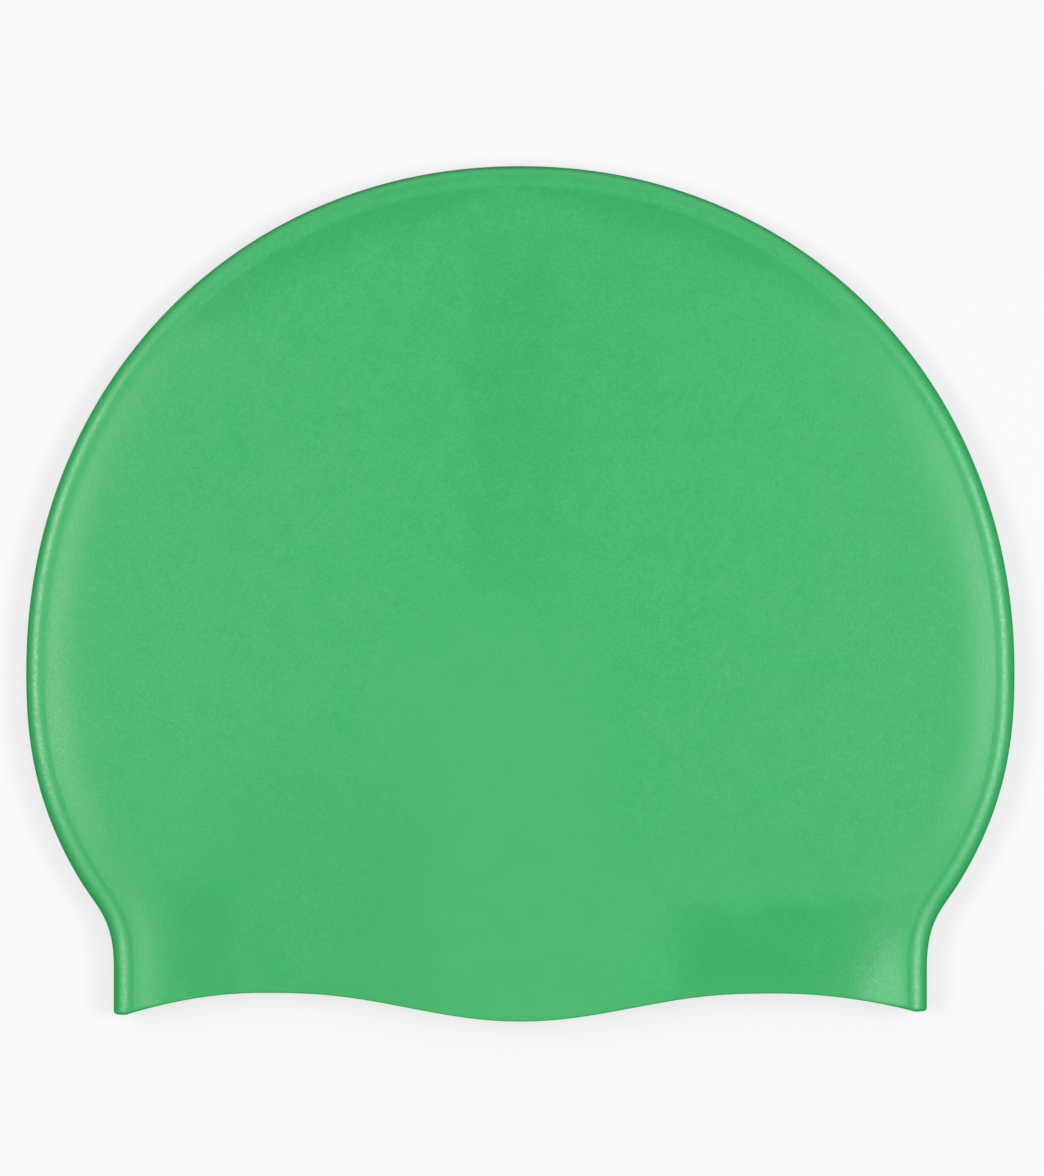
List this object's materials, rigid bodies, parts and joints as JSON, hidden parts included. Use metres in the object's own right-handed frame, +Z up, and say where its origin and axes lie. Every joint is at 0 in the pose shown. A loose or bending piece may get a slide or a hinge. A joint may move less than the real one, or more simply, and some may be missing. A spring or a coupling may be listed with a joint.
{
  "type": "swim cap",
  "caption": "Hollow moulded silicone swim cap lying flat, with a domed crown, a thick rim round its outline and an open wavy hem arched over the ears.",
  "frame": {"origin": "on the surface the cap lies on, under the middle of its width and length", "axes": "+X across the cap, +Y from the hem towards the top of the crown, +Z up through both walls"},
  "size_m": [0.22, 0.19, 0.0102],
  "materials": {
    "silicone": "satin matte green silicone"
  },
  "bodies": {
    "root": {"moulded_cap": "silicone"}
  },
  "joints": []
}
